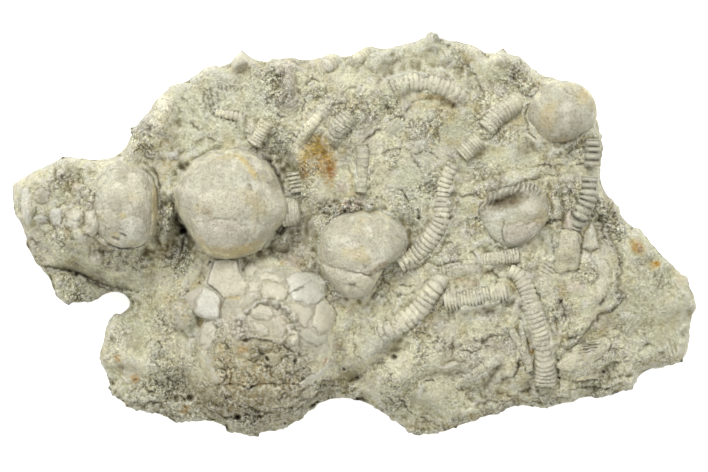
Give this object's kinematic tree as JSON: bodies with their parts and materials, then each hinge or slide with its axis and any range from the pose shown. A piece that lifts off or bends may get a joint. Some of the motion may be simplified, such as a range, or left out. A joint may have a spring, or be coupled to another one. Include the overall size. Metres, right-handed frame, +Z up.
{
  "type": "crinoid fossil plate",
  "caption": "Loose slab of pale limestone with round crinoid calyxes and ribbed stems set in its upper face, lying flat on its underside.",
  "frame": {"origin": "middle of the slab's bounding box, on the surface that it lies on", "axes": "+Z up, out of the fossil face; +X along the slab's length, to the right when the large calyx is left of middle"},
  "size_m": [0.1715, 0.101, 0.0358],
  "materials": {
    "limestone": "rough broken limestone, pale grey-green to beige, with orange iron stains",
    "calyx_calcite": "smooth worn cream calcite with faint plate seams",
    "stem_calcite": "matt ribbed beige calcite"
  },
  "bodies": {
    "root": {"arched_top_stem": "stem_calcite", "branched_ossicle": "stem_calcite", "crushed_cup": "calyx_calcite", "diagonal_stem_lower": "stem_calcite", "diagonal_stem_upper": "stem_calcite", "faint_diagonal_stem": "stem_calcite", "flared_stem_base": "stem_calcite", "large_calyx": "calyx_calcite", "large_calyx_stem": "stem_calcite", "left_calyx": "calyx_calcite", "long_level_stem": "stem_calcite", "long_upright_stem": "stem_calcite", "lower_arc_stem": "stem_calcite", "matrix": "limestone", "middle_calyx": "calyx_calcite", "middle_calyx_stem": "stem_calcite", "middle_upright_stem": "stem_calcite", "pale_tooth_ossicle": "calyx_calcite", "plated_calyx": "calyx_calcite", "ribbed_plate": "stem_calcite", "right_edge_stem_lower": "stem_calcite", "right_edge_stem_upper": "stem_calcite", "short_level_stem": "stem_calcite", "small_ribbed_stem": "stem_calcite", "stem_above_large_calyx": "stem_calcite", "stem_beside_large_calyx": "stem_calcite", "top_edge_stem_left": "stem_calcite", "top_edge_stem_right": "stem_calcite", "upper_right_calyx": "calyx_calcite", "wide_stem": "stem_calcite", "worn_stem_lower_centre": "stem_calcite", "worn_stem_lower_right": "stem_calcite", "worn_stem_upper_left": "stem_calcite"}
  },
  "joints": []
}
